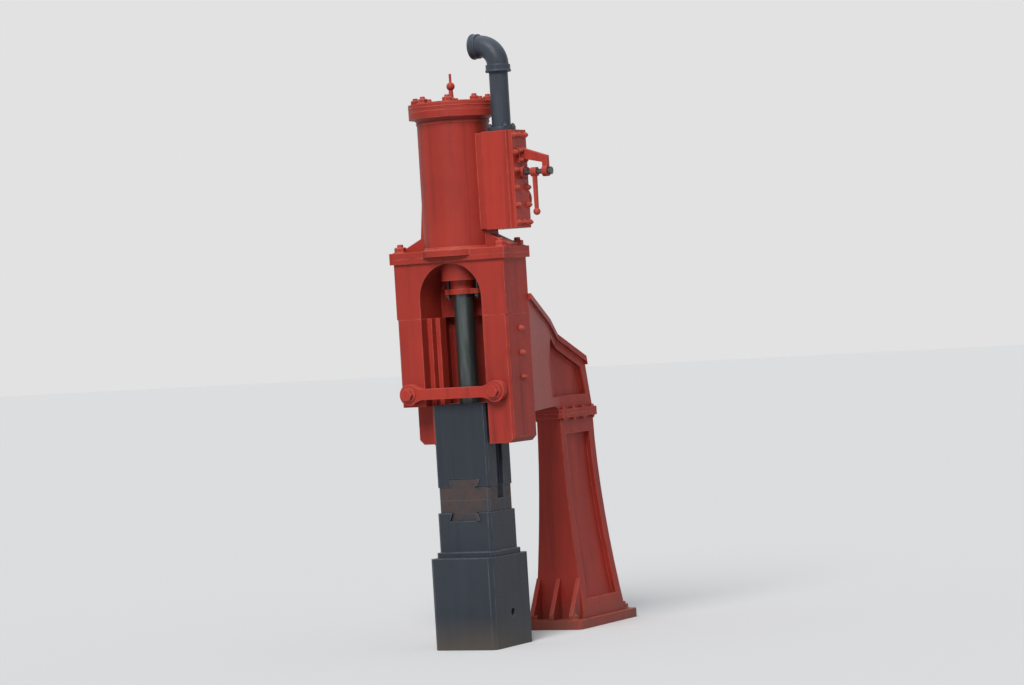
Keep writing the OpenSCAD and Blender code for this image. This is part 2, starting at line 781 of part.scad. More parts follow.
// Bracket that carries the outer end of the spindle: a sloping arm from the chest's cover
module lever_bracket() {
    foot_low = spindle_z + 45;
    foot_high = spindle_z + 117;
    inner = cover_x + boss_out;
    outer = inner + boss_w;
    color("indianred") difference() {
        union() {
            block([cover_x, -30, foot_low], [cover_x + 14, 30, foot_high]);
            front_prism(-12, 12) polygon([
                [cover_x, foot_low + 12], [cover_x, foot_high], [cover_x + 16, foot_high],
                [outer, spindle_z + 72], [outer, spindle_z], [inner, spindle_z],
                [inner, spindle_z + 42], [cover_x + 16, foot_low + 20]
            ]);
            shaft_x(inner, outer, 2.1 * spindle_r, spindle_z);
        }
        shaft_x(inner - past, outer + past, spindle_r + fit, spindle_z);
    }
}

// Share of a flare that is left at a share of the height, from one at the foot to none at the neck
function flare(t) = pow(1 - t, 1.7);

// Height of a place on the column, by its share
function column_z(t) = foot_h + t * (joint_z - joint_flange_h - foot_h);

// Upright outline of the column seen from the front, drawn in X and Z, thinner by a margin
module column_front_outline(margin) {
    steps = 8;
    right = [for (i = [0 : steps]) let (t = i / steps)
        [(neck_w + (shank_w - neck_w) * flare(t)) / 2 - margin, column_z(t)]];
    left = [for (i = [steps : -1 : 0]) [-right[i][0], right[i][1]]];
    polygon(concat(right, left));
}

// Upright outline of the column seen from the side, drawn in Y and Z, inset by a margin
module column_side_outline(margin, low, high) {
    steps = 8;
    back = [for (i = [0 : steps]) let (t = low + (high - low) * i / steps)
        [neck_back + (column_back - neck_back) * flare(t) - margin, column_z(t)]];
    polygon(concat(back, [[column_front + margin, column_z(high)], [column_front + margin, column_z(low)]]));
}

// Column: tapered both ways, with a sunk panel in each side and the joint flange on top
module standard_column() {
    border = 52;
    color("firebrick") difference() {
        union() {
            intersection() {
                side_prism(2 * shank_w) column_side_outline(0, 0, 1);
                front_prism(column_front - past, column_back + past) column_front_outline(0);
            }
            translate([0, 0, joint_z - joint_flange_h]) linear_extrude(joint_flange_h)
                chamfered(neck_w + 2 * joint_flange_out, column_front - joint_flange_out,
                    neck_back + joint_flange_out, 12);
        }
        difference() {
            side_prism(2 * shank_w) column_side_outline(border, 0.09, 0.92);
            front_prism(column_front - past, column_back + past) column_front_outline(panel_depth);
        }
    }
}

// Foot plate of the column with its four bolt holes
module foot_plate() {
    middle = (foot_front + foot_back) / 2;
    reach = foot_d / 2 - foot_bolt_edge;
    color("firebrick") difference() {
        linear_extrude(foot_h) chamfered(foot_w, foot_front, foot_back, 16);
        for (across = [-1, 1], along = [-1, 1])
            translate([across * foot_bolt_x / 2, middle + along * reach, -past])
                cylinder(h = foot_h + 2 * past, r = foot_bolt_r, $fn = 32);
    }
}

// Ribs between the column's front and its foot plate
module foot_ribs() {
    reach = 0.89 * foot_ahead;
    toe_h = 0.12 * foot_rib_h;
    spacing = 0.43 * (shank_w - foot_rib_t);
    color("firebrick") for (side = [-1, 0, 1])
        translate([side * spacing, 0, 0]) side_prism(foot_rib_t)
            polygon([[column_front, foot_h], [column_front, foot_h + foot_rib_h],
                [column_front - reach, foot_h + toe_h], [column_front - reach, foot_h]]);
}

// Side outline of the arm, drawn in Y and Z
module arm_outline() {
    polygon([
        [housing_back, throat_z], [column_front - 0.19 * arm_run, throat_z],
        [column_front - 0.11 * arm_run, throat_z - 0.14 * throat_up],
        [column_front - 0.05 * arm_run, arm_bottom + 0.09 * throat_up],
        [column_front, arm_bottom], [neck_back, arm_bottom],
        [arm_back_y, arm_back_z], [arm_knee_y, arm_knee_z], [housing_back, arm_top]
    ]);
}

// Plan of the arm, from the head's width to the neck's, narrower by a margin
module arm_plan(margin) {
    back = neck_back + arm_flange_out;
    front_half = housing_x - margin;
    back_half = neck_w / 2 - margin;
    polygon([
        [-front_half, housing_back], [front_half, housing_back],
        [back_half, column_front], [back_half, back],
        [-back_half, back], [-back_half, column_front]
    ]);
}

// Height of the arm's top over a place on Y
function arm_top_z(y) = y < arm_knee_y
    ? arm_top + (arm_knee_z - arm_top) * (y - housing_back) / (arm_knee_y - housing_back)
    : arm_knee_z + (arm_back_z - arm_knee_z) * (y - arm_knee_y) / (arm_back_y - arm_knee_y);

// Panel in the arm's side over the column, drawn in Y and Z
module arm_panel() {
    under = arm_flange_h + panel_border;
    polygon([
        [rib_foot_y, throat_z + panel_border], [arm_back_y, arm_bottom + 1.6 * panel_border],
        [arm_back_y - panel_border, arm_top_z(arm_back_y - panel_border) - under],
        [arm_knee_y + panel_border, arm_top_z(arm_knee_y + panel_border) - under],
        [rib_foot_y - rib_lean, rib_knee_z]
    ]);
}

// Arm from the column to the guides, with a sunk panel, a top flange and the ram's channel
module standard_arm() {
    tall = arm_top + 100;
    color("firebrick") difference() {
        union() {
            intersection() {
                side_prism(4 * housing_x) arm_outline();
                linear_extrude(tall) arm_plan(0);
            }
            intersection() {
                side_prism(4 * housing_x) difference() {
                    arm_outline();
                    translate([0, -arm_flange_h]) arm_outline();
                    translate([0, -past]) square([2 * column_front, arm_back_z - 1.5 * arm_flange_h]);
                }
                linear_extrude(tall) arm_plan(-arm_flange_out);
            }
            translate([0, 0, joint_z]) linear_extrude(joint_flange_h + 2)
                chamfered(neck_w + 2 * joint_flange_out, column_front - joint_flange_out,
                    neck_back + joint_flange_out, 12);
        }
        difference() {
            side_prism(4 * housing_x) arm_panel();
            linear_extrude(tall) arm_plan(panel_depth);
        }
        block([-jaw_x + 1, housing_back - past, throat_z - past],
            [jaw_x - 1, ram_d / 2 + channel_clear, head_z + 5]);
    }
}

anvil_block();
anvil_cap();
anvil_pallet();
anvil_key();
ram();
ram_pallet();
ram_key();
piston_rod();
piston();
left_jaw();
right_jaw();
left_guide();
right_guide();
guide_head();
crossbar();
crossbar_bolts();
cylinder_node();  // cylinder
cylinder_cover();
drain_cock();
stuffing_box();
gland();
gland_studs();
valve_chest();
chest_cover();
steam_riser();
steam_elbow();
exhaust_branch();
valve_spindle();
hand_lever();
lever_bracket();
standard_column();
standard_arm();
foot_plate();
foot_ribs();
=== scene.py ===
"""Looks of a steam hammer with a single standard: nuts, studs, fillets, beads and worn red paint.

The sidebar panel lists one operator for each group of pieces. Sizes are in metres, and every place is
worked out from the solids' own boxes and the mounts in model.json, so a piece lies where its carrier
is.
"""

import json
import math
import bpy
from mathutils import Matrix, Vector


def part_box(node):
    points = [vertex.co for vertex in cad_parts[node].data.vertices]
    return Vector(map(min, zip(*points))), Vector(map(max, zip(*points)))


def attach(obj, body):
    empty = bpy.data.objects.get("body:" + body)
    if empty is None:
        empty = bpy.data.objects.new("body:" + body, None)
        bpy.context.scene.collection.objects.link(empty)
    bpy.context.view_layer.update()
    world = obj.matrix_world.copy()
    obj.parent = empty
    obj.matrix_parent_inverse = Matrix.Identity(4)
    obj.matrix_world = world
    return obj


bl_info = {
    "name": "Single-standard steam hammer",
    "version": (1, 0, 0),
    "blender": (4, 5, 0),
    "location": "View3D > Sidebar > Hammer",
    "description": "Dresses a steam hammer with its fastenings, fillets and worn paint",
    "category": "Add Mesh",
}

import bpy
import numpy as np
from bpy.props import FloatProperty, FloatVectorProperty, IntProperty, PointerProperty
from mathutils import Matrix, Vector

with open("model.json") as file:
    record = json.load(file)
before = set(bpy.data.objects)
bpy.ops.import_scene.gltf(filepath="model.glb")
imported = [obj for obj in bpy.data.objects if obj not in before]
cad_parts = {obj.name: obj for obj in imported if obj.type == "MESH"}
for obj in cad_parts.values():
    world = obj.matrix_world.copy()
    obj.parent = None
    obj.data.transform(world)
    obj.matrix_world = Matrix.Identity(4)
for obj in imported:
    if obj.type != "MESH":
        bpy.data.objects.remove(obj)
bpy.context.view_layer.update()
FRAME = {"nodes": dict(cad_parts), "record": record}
NODES = FRAME["nodes"]
UP = np.array([0.0, 0.0, 1.0])
FRONT = np.array([0.0, -1.0, 0.0])
RIGHT = np.array([1.0, 0.0, 0.0])


def low(node):
    """Lowest corner of a node."""
    return np.array(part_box(node)[0])


def high(node):
    """Highest corner of a node."""
    return np.array(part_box(node)[1])


def middle(node):
    """Middle of a node's box."""
    return (low(node) + high(node)) / 2


class HammerFinish(bpy.types.PropertyGroup):
    """Colours of the worn surfaces, with the pale and dark paints that also carry a painted highlight
    and a painted shade
    """

    paint: FloatVectorProperty(
        name="Paint", description="Red paint on the castings", subtype="COLOR",
        default=(0.33, 0.03, 0.019), min=0, max=1)
    # Pale paint for worn edges, also used for the painted highlight on faces to the sky
    paint_worn_and_lit: FloatVectorProperty(
        name="Bleached paint", description="Paint bleached where it faces the sky and on worn edges",
        subtype="COLOR", default=(0.5, 0.1, 0.07), min=0, max=1)
    # Dark paint for sooty runs, also used for the painted shade on faces to the ground
    paint_soot_and_shade: FloatVectorProperty(
        name="Sooty paint", description="Paint in sheltered places", subtype="COLOR",
        default=(0.1, 0.011, 0.009), min=0, max=1)
    anvil: FloatVectorProperty(
        name="Anvil paint", description="Blue-grey paint of the anvil and the ram", subtype="COLOR",
        default=(0.028, 0.034, 0.044), min=0, max=1)
    # Pale anvil paint for worn edges, also used for the painted highlight on faces to the sky
    anvil_worn_and_lit: FloatVectorProperty(
        name="Bleached anvil paint", description="Anvil paint where it faces the sky and on worn edges",
        subtype="COLOR", default=(0.11, 0.115, 0.14), min=0, max=1)
    pipe: FloatVectorProperty(
        name="Pipe paint", description="Dark grey paint of the steam pipe", subtype="COLOR",
        default=(0.045, 0.054, 0.07), min=0, max=1)
    steel: FloatVectorProperty(
        name="Steel", description="Greased steel of the rod", subtype="COLOR",
        default=(0.1, 0.115, 0.115), min=0, max=1)
    rust: FloatVectorProperty(
        name="Rust", description="Brown rust where the paint is gone", subtype="COLOR",
        default=(0.085, 0.036, 0.018), min=0, max=1)


class HammerFastenings(bpy.types.PropertyGroup):
    """Sizes and numbers of the nuts and studs"""

    cover_studs: IntProperty(
        name="Cover studs", description="Studs round the cylinder's cover", default=8, min=6, max=16)
    stud_r: FloatProperty(
        name="Stud radius", description="Radius of a stud", default=0.011, min=0.006, max=0.016,
        unit="LENGTH")
    nut_r: FloatProperty(
        name="Nut radius", description="Radius of a nut over its corners", default=0.021, min=0.012,
        max=0.03, unit="LENGTH")
    nut_h: FloatProperty(
        name="Nut height", description="Height of a nut", default=0.018, min=0.01, max=0.03,
        unit="LENGTH")
    base_flange: FloatProperty(
        name="Base flange", description="Thickness of the cylinder's base flange", default=0.03,
        min=0.024, max=0.038, unit="LENGTH")
    barrel_r: FloatProperty(
        name="Barrel", description="Radius of the cylinder's barrel", default=0.17, min=0.164,
        max=0.178, unit="LENGTH")
    joint_half: FloatProperty(
        name="Joint half width", description="Half the width of the standard's joint flanges",
        default=0.085, min=0.07, max=0.1, unit="LENGTH")
    joint_flange: FloatProperty(
        name="Joint flange", description="Thickness and overhang of the standard's joint flanges",
        default=0.02, min=0.014, max=0.028, unit="LENGTH")
    cover_edge: FloatProperty(
        name="Cover edge", description="Thickness of the cover at its rim", default=0.035,
        min=0.028, max=0.042, unit="LENGTH")


class HammerView(bpy.types.PropertyGroup):
    """Place of the camera and strength of the light"""

    camera_place: FloatVectorProperty(
        name="Camera", description="Where the camera stands", default=(8.0, -14.29, 1.6),
        subtype="TRANSLATION", unit="LENGTH")
    aim: FloatVectorProperty(
        name="Aim", description="Point in the middle of the view", default=(0.05, 0.36, 1.42),
        subtype="TRANSLATION", unit="LENGTH")
    roll: FloatProperty(
        name="Roll", description="Turn of the camera about its view", default=math.radians(-3.5),
        subtype="ANGLE")
    lens: FloatProperty(
        name="Lens", description="Focal length on a sensor 36 mm wide", default=122.0, min=20, max=200)
    sky: FloatProperty(
        name="Sky", description="Strength of the sky's light", default=0.36, min=0, max=2)
    sun: FloatProperty(
        name="Sun", description="Strength of the soft sun", default=3.1, min=0, max=10)


# Meshes worked out with numpy


def mesh_object(name, verts, face_sets, material, smooth=False):
    """Object from vertices and arrays of faces that each have one number of corners."""
    verts = np.asarray(verts, np.float32).reshape(-1, 3)
    face_sets = [np.asarray(faces, np.int32) for faces in face_sets if len(faces)]
    corners = np.concatenate([faces.ravel() for faces in face_sets])
    sizes = np.concatenate([np.full(len(faces), faces.shape[1], np.int32) for faces in face_sets])
    starts = np.concatenate([[0], np.cumsum(sizes)[:-1]]).astype(np.int32)
    mesh = bpy.data.meshes.new(name)
    mesh.vertices.add(len(verts))
    mesh.vertices.foreach_set("co", verts.ravel())
    mesh.loops.add(len(corners))
    mesh.loops.foreach_set("vertex_index", corners)
    mesh.polygons.add(len(sizes))
    mesh.polygons.foreach_set("loop_start", starts)
    mesh.polygons.foreach_set("loop_total", sizes)
    mesh.polygons.foreach_set("use_smooth", np.full(len(sizes), smooth))
    mesh.update(calc_edges=True)
    mesh.validate()
    mesh.materials.append(material)
    piece = bpy.data.objects.new(name, mesh)
    bpy.context.scene.collection.objects.link(piece)
    return piece


def joined(parts):
    """Vertices and face sets of several parts, one after another."""
    verts, faces, count = [], [], 0
    for part_verts, part_faces in parts:
        part_verts = np.asarray(part_verts, float).reshape(-1, 3)
        verts.append(part_verts)
        faces.extend(np.asarray(block) + count for block in part_faces)
        count += len(part_verts)
    return np.concatenate(verts), faces


def ride_as(piece, body):
    """Lets a piece move with a body."""
    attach(piece, body)
    return piece


def unit(vectors):
    """Vectors scaled to length one."""
    vectors = np.asarray(vectors, float)
    return vectors / np.linalg.norm(vectors, axis=-1, keepdims=True)


def ring_directions(normal, angles):
    """Directions square to a normal: the cosine of each angle across it plus the sine along it."""
    helper = RIGHT if abs(normal[2]) > 0.9 else UP
    across = unit(np.cross(helper, normal))
    along = np.cross(normal, across)
    return np.cos(angles)[:, None] * across + np.sin(angles)[:, None] * along


def full_turn(sides):
    """Angles of the corners of a ring, evenly spaced."""
    return np.arange(sides) * 2 * math.pi / sides


def disc_stack(centre, normal, radii, levels, sides=32, turn=0.0):
    """Turned piece: circles of the given radii at levels along an axis, closed at both ends.

    Neighbouring circles are joined by a wall of four-cornered faces, one to each side.
    """
    centre = np.asarray(centre, float)
    normal = unit(normal)
    ring = ring_directions(normal, turn + full_turn(sides))
    verts = np.concatenate([
        centre + radius * ring + level * normal for radius, level in zip(radii, levels)])
    step = np.arange(sides)
    following = (step + 1) % sides
    wall = np.stack([step, following, following + sides, step + sides], 1)
    walls = np.concatenate([wall + k * sides for k in range(len(radii) - 1)])
    last = (len(radii) - 1) * sides
    return verts, [walls, step[::-1][None, :], (step + last)[None, :]]


# Materials


class NodeMaker:
    """Adds shader nodes and links them, so that a material reads from top to bottom"""

    def __init__(self, name):
        self.material = bpy.data.materials.new(name)
        self.material.use_nodes = True
        self.tree = self.material.node_tree
        self.tree.nodes.clear()
        self.output = self.tree.nodes.new("ShaderNodeOutputMaterial")
        self.shader = self.tree.nodes.new("ShaderNodeBsdfPrincipled")
        self.link(self.shader.outputs[0], self.output.inputs[0])
        self.place = self.tree.nodes.new("ShaderNodeTexCoord").outputs["Object"]
        self.geometry = self.tree.nodes.new("ShaderNodeNewGeometry")

    def link(self, source, target):
        """Joins one node's output to another's input."""
        self.tree.links.new(source, target)

    def scaled(self, scale):
        """Object coordinates stretched along each axis."""
        node = self.tree.nodes.new("ShaderNodeMapping")
        node.inputs["Scale"].default_value = scale
        self.link(self.place, node.inputs["Vector"])
        return node.outputs[0]

    def noise(self, scale, detail=4.0, rough=0.55, stretch=None):
        """Noise of a scale, per metre, on coordinates that may be stretched."""
        node = self.tree.nodes.new("ShaderNodeTexNoise")
        node.inputs["Scale"].default_value = scale
        node.inputs["Detail"].default_value = detail
        node.inputs["Roughness"].default_value = rough
        self.link(self.scaled(stretch) if stretch else self.place, node.inputs["Vector"])
        return node.outputs["Fac"]

    def step(self, value, start, end, low_value=0.0, high_value=1.0):
        """Value mapped from one stretch to another, and held at both ends."""
        node = self.tree.nodes.new("ShaderNodeMapRange")
        node.inputs["From Min"].default_value = start
        node.inputs["From Max"].default_value = end
        node.inputs["To Min"].default_value = low_value
        node.inputs["To Max"].default_value = high_value
        self.link(value, node.inputs["Value"])
        return node.outputs[0]

    def math(self, kind, first, second):
        """An operation on two values, which may be numbers."""
        node = self.tree.nodes.new("ShaderNodeMath")
        node.operation = kind
        for socket, value in zip(node.inputs, (first, second)):
            if isinstance(value, (int, float)):
                socket.default_value = value
            else:
                self.link(value, socket)
        return node.outputs[0]

    def mix(self, share, first, second):
        """Colours mixed by a share; a colour may be a tuple."""
        node = self.tree.nodes.new("ShaderNodeMix")
        node.data_type = "RGBA"
        self.link(share, node.inputs["Factor"])
        for name, value in (("A", first), ("B", second)):
            socket = next(s for s in node.inputs if s.name == name and s.type == "RGBA")
            if isinstance(value, (tuple, list)) or hasattr(value, "r"):
                socket.default_value = (*tuple(value)[:3], 1.0)
            else:
                self.link(value, socket)
        return next(s for s in node.outputs if s.type == "RGBA")

    def facing_up(self):
        """How far a face looks to the sky, from -1 to 1."""
        node = self.tree.nodes.new("ShaderNodeSeparateXYZ")
        self.link(self.geometry.outputs["Normal"], node.inputs[0])
        return node.outputs["Z"]

    def height(self):
        """Height over the ground in the object's own coordinates."""
        node = self.tree.nodes.new("ShaderNodeSeparateXYZ")
        self.link(self.place, node.inputs[0])
        return node.outputs["Z"]

    def bevel(self, radius):
        """Normal of a small bevel, and how far it turns away from the face's own normal."""
        node = self.tree.nodes.new("ShaderNodeBevel")
        node.samples = 6
        node.inputs["Radius"].default_value = radius
        turned = self.tree.nodes.new("ShaderNodeVectorMath")
        turned.operation = "DISTANCE"
        self.link(node.outputs[0], turned.inputs[0])
        self.link(self.geometry.outputs["Normal"], turned.inputs[1])
        return node.outputs[0], turned.outputs["Value"]

    def bump(self, value, distance, strength=1.0, under=None):
        """Bump of a value over a distance in metres, on top of another bump."""
        node = self.tree.nodes.new("ShaderNodeBump")
        node.inputs["Strength"].default_value = strength
        node.inputs["Distance"].default_value = distance
        self.link(value, node.inputs["Height"])
        if under is not None:
            self.link(under, node.inputs["Normal"])
        return node.outputs[0]


# Colour of the dust at the foot and how high it reaches, and the radius of a worn edge
GROUND_DUST = (0.09, 0.07, 0.05)
DUST_TOP = 0.16
BEVEL_R = 0.006


def worn_paint_with_painted_light(name, base, pale, dark, rust, wear=1.0, gloss=0.42):
    """Brushed paint on a casting: clouds, runs, painted shade on undersides, painted highlight on tops,
    worn edges, chips.

    The edges come from the difference between the true normal and the normal of a small bevel.
    """
    maker = NodeMaker(name)
    cloud = maker.noise(2.2, 5.0, 0.6)
    grain = maker.noise(90.0, 6.0, 0.7)
    up = maker.facing_up()

    # Clouds, and runs down the walls, some lighter and some sooty
    runs = maker.noise(1.6, 6.0, 0.65, stretch=(11.0, 11.0, 0.6))
    tone = maker.mix(maker.step(cloud, 0.3, 0.7), base, [c * 0.72 for c in base])
    tone = maker.mix(maker.step(runs, 0.5, 0.75, 0.0, 0.4), tone, [c * 1.18 for c in base])
    tone = maker.mix(maker.step(runs, 0.46, 0.3, 0.0, 0.55), tone, dark)

    # Faces to the sky get a painted highlight in grains, and faces to the ground get a painted shade
    top = maker.math("MULTIPLY", maker.step(up, 0.3, 0.95), maker.step(grain, 0.2, 0.6, 0.35, 0.8))
    tone = maker.mix(top, tone, pale)
    # Painted shade: faces to the ground are darkened with the dark paint
    under = maker.math("MULTIPLY", maker.step(up, -0.2, -0.8), 0.7)
    tone = maker.mix(under, tone, dark)

    # Edges are rubbed pale in places
    round_normal, edge = maker.bevel(BEVEL_R)
    rubbed = maker.step(maker.noise(14.0, 5.0, 0.65), 0.35, 0.6)
    worn = maker.math("MULTIPLY", maker.step(edge, 0.012, 0.1), rubbed)
    tone = maker.mix(maker.math("MULTIPLY", worn, 0.55 * wear), tone, pale)

    # Small chips show rust, and lie in groups
    chips = maker.math("MULTIPLY", maker.step(maker.noise(46.0, 8.0, 0.8), 0.67, 0.71),
                       maker.step(maker.noise(3.4, 4.0), 0.5, 0.6))
    chips = maker.math("MULTIPLY", chips, 0.75 * wear)
    tone = maker.mix(chips, tone, rust)

    # Dust near the ground
    dusty = maker.step(cloud, 0.3, 0.6, 0.2, 0.6)
    foot = maker.math("MULTIPLY", maker.step(maker.height(), DUST_TOP, 0.01), dusty)
    tone = maker.mix(foot, tone, GROUND_DUST)

    maker.link(tone, maker.shader.inputs["Base Color"])
    maker.shader.inputs["Specular IOR Level"].default_value = 0.22
    sheen = maker.step(grain, 0.3, 0.7, gloss, gloss + 0.16)
    rough = maker.math("ADD", sheen, maker.math("MULTIPLY", chips, 0.3))
    maker.link(rough, maker.shader.inputs["Roughness"])
    skin = maker.bump(maker.noise(26.0, 3.0, 0.5), 0.0016, 0.45, round_normal)
    maker.link(maker.bump(grain, 0.0005, 0.4, skin), maker.shader.inputs["Normal"])
    return maker.material


def greased_steel(name, colour, rough):
    """Turned steel under a film of old oil: fine rings round it, dull smears along it."""
    maker = NodeMaker(name)
    rings = maker.noise(4.0, 3.0, 0.5, stretch=(2.0, 2.0, 120.0))
    smear = maker.noise(5.0, 5.0, 0.6, stretch=(6.0, 6.0, 0.8))
    tone = maker.mix(maker.step(smear, 0.35, 0.7), colour, [c * 0.35 for c in colour])
    maker.link(tone, maker.shader.inputs["Base Color"])
    maker.shader.inputs["Metallic"].default_value = 0.7
    dulled = maker.step(smear, 0.3, 0.7, rough - 0.08, rough + 0.15)
    maker.link(dulled, maker.shader.inputs["Roughness"])
    maker.link(maker.bump(rings, 0.0003, 0.4), maker.shader.inputs["Normal"])
    return maker.material


def hammered_steel(name, colour, rust):
    """Working faces of the pallets: dark scale, dents and brown rust."""
    maker = NodeMaker(name)
    scale = maker.noise(38.0, 8.0, 0.7)
    cloud = maker.noise(7.0, 5.0, 0.6)
    tone = maker.mix(maker.step(cloud, 0.35, 0.7, 0.0, 0.7), colour, rust)
    tone = maker.mix(maker.step(scale, 0.55, 0.7, 0.0, 0.5), tone, [c * 0.5 for c in colour])
    round_normal, edge = maker.bevel(0.005)
    tone = maker.mix(maker.step(edge, 0.02, 0.12, 0.0, 0.6), tone, [c * 2.4 for c in colour])
    maker.link(tone, maker.shader.inputs["Base Color"])
    maker.shader.inputs["Metallic"].default_value = 0.35
    maker.link(maker.step(scale, 0.3, 0.7, 0.5, 0.75), maker.shader.inputs["Roughness"])
    maker.link(maker.bump(scale, 0.0015, 0.6, round_normal), maker.shader.inputs["Normal"])
    return maker.material


class Palette:
    """Materials of one build, made once and shared"""

    def __init__(self):
        finish = bpy.context.scene.hammer_finish
        red = (finish.paint, finish.paint_worn_and_lit, finish.paint_soot_and_shade, finish.rust)
        self.red = worn_paint_with_painted_light("red_casting_paint", *red)
        self.red_small = worn_paint_with_painted_light(
            "red_fitting_paint", [c * 1.12 for c in finish.paint], *red[1:], gloss=0.36)
        # The anvil's dark colour gives its sooty runs and the painted shade under it
        self.anvil = worn_paint_with_painted_light(
            "anvil_paint", finish.anvil, finish.anvil_worn_and_lit, [c * 0.45 for c in finish.anvil],
            finish.rust, gloss=0.4)
        # The pipe's pale colour gives its worn edges and the painted highlight on its tops; its dark
        # colour gives its sooty runs and the painted shade under it
        self.pipe = worn_paint_with_painted_light("pipe_paint", finish.pipe, [c * 2.2 for c in finish.pipe],
                               [c * 0.3 for c in finish.pipe], finish.rust, wear=0.6, gloss=0.34)
        self.pallet = hammered_steel("pallet_steel", [c * 1.1 for c in finish.anvil], finish.rust)
        self.rod = greased_steel("greased_rod_steel", finish.steel, 0.34)


PALETTE = {}


def palette():
    """The shared materials, made at first use."""
    if "made" not in PALETTE:
        PALETTE["made"] = Palette()
    return PALETTE["made"]


# Fastenings and turned trim

# A washer's thickness and the height of its rim, and how far a piece sinks into its face
WASHER = 0.0035
WASHER_RIM = 0.0028
SUNK = 0.001
# Turn from one nut to the next, in radians
NUT_TURN = 0.37


def hex_nut(centre, normal, radius, height, stud, turn):
    """Nut on a face: a hexagonal prism whose top corners fall off as a cone, its washer and stud.

    The hexagon is a ring of six sides, and the washer and the stud's end are turned discs.
    """
    top = WASHER + height
    nut = disc_stack(
        centre, normal, (radius, radius, 0.86 * radius),
        (WASHER - SUNK, WASHER + 0.84 * height, top), 6, turn)
    rim = 1.32 * radius
    washer = disc_stack(centre, normal, (rim, rim, 0.95 * rim), (-SUNK, WASHER_RIM, WASHER), 24)
    reach = top + 0.7 * stud
    end = disc_stack(
        centre, normal, (stud, stud, 0.8 * stud), (WASHER, reach, reach + 0.2 * stud), 16)
    return joined([nut, washer, end])


def nut_piece(name, places, body, material, size=1.0):
    """One piece of nuts at places, each a centre and a normal; no two lie at the same turn."""
    sizes = bpy.context.scene.hammer_fastenings
    parts = [
        hex_nut(centre, normal, sizes.nut_r * size, sizes.nut_h * size, sizes.stud_r * size,
                NUT_TURN * k)
        for k, (centre, normal) in enumerate(places)]
    return ride_as(mesh_object(name, *joined(parts), material), body)


def turned_bead(centre, normal, radius, width, height, sides=72):
    """Half-round ring: a half circle of the bead's width carried round a circle of the radius.

    The ring's inner side is closed by a straight wall a little inside the surface.
    """
    centre = np.asarray(centre, float)
    normal = unit(normal)
    inside = -0.003
    swing = np.linspace(-math.pi / 2, math.pi / 2, 9)
    profile = np.stack([height * np.cos(swing), width / 2 * np.sin(swing)], 1)
    profile = np.concatenate([profile, [[inside, width / 2], [inside, -width / 2]]])
    ring = ring_directions(normal, full_turn(sides))
    outward = (radius + profile[:, 0])[:, None, None] * ring[None]
    verts = centre + outward + profile[:, 1][:, None, None] * normal
    index = np.arange(len(profile) * sides).reshape(len(profile), sides)
    following = np.roll(index, -1, axis=0)
    quads = np.stack([index, np.roll(index, -1, 1), np.roll(following, -1, 1), following], -1)
    return verts.reshape(-1, 3), [quads.reshape(-1, 4)]


def ring_fillet(centre, normal, radius, size, sides=96):
    """Concave fillet round a barrel on a flange: a quarter circle, hollow side out, turned round it."""
    below, inside = 0.002, 0.004
    swing = np.linspace(0, math.pi / 2, 7)
    radii = radius + size * (1 - np.sin(swing))
    levels = size * (1 - np.cos(swing))
    radii = np.concatenate([[radius + size], radii, [radius - inside]])
    levels = np.concatenate([[-below], levels, [size]])
    return disc_stack(centre, normal, radii, levels, sides)


# Operators


class HAMMER_OT_finishes(bpy.types.Operator):
    """Give every solid its worn finish"""

    bl_idname = "hammer.finishes"
    bl_label = "Finishes"

    def execute(self, context):
        colours = palette()
        slots = {
            "red_paint": colours.red, "red_fittings": colours.red_small, "anvil_iron": colours.anvil,
            "pallet_steel": colours.pallet, "bright_steel": colours.rod, "pipe_iron": colours.pipe,
        }
        by_node = {part["node"]: part["material_slot"] for part in FRAME["record"]["subparts"]}
        for node, solid in NODES.items():
            solid.data.materials.clear()
            solid.data.materials.append(slots[by_node[node]])
        return {"FINISHED"}


def cover_nut_places(flange_r, rim_z):
    """Places on a circle inside the rim of the cylinder's cover."""
    studs = bpy.context.scene.hammer_fastenings.cover_studs
    pitch_r = flange_r - 0.034
    angles = (np.arange(studs) + 0.5) * 2 * math.pi / studs
    return [((pitch_r * math.cos(a), pitch_r * math.sin(a), rim_z), UP) for a in angles]


def base_nut_places(base_z):
    """Places at the four corners of the head, on the cylinder's base flange."""
    inset = 0.04
    head_low, head_high = low("guide_head"), high("guide_head")
    return [((x, y, base_z), UP)
            for x in (head_low[0] + inset, head_high[0] - inset)
            for y in (head_low[1] + inset, head_high[1] - inset)]


class HAMMER_OT_cylinder_trim(bpy.types.Operator):
    """Put the nuts on the cover and the flanges, and the fillets and beads on the barrel"""

    bl_idname = "hammer.cylinder_trim"
    bl_label = "Cylinder trim"

    def execute(self, context):
        colours = palette()
        sizes = context.scene.hammer_fastenings
        cover_low, cover_high = low("cylinder_cover"), high("cylinder_cover")
        flange_r = (cover_high[0] - cover_low[0]) / 2
        rim_z = cover_low[2] + sizes.cover_edge
        nut_piece("cover_nuts", cover_nut_places(flange_r, rim_z), "frame",
                  colours.red_small, size=1.1)
        base_z = low("cylinder")[2] + sizes.base_flange
        nut_piece("base_flange_nuts", base_nut_places(base_z), "frame",
                  colours.red_small, size=1.35)
        neck_z = cover_low[2] - 0.057
        groove_z = rim_z - sizes.cover_edge / 2
        parts = [
            ring_fillet((0, 0, base_z), UP, sizes.barrel_r, 0.014),
            turned_bead((0, 0, neck_z), UP, sizes.barrel_r - 0.001, 0.016, 0.005),
            turned_bead((0, 0, groove_z), UP, flange_r - 0.0005, 0.006, 0.0025, 96),
        ]
        fillets = mesh_object("barrel_fillets", *joined(parts), colours.red, smooth=True)
        ride_as(fillets, "frame")
        return {"FINISHED"}


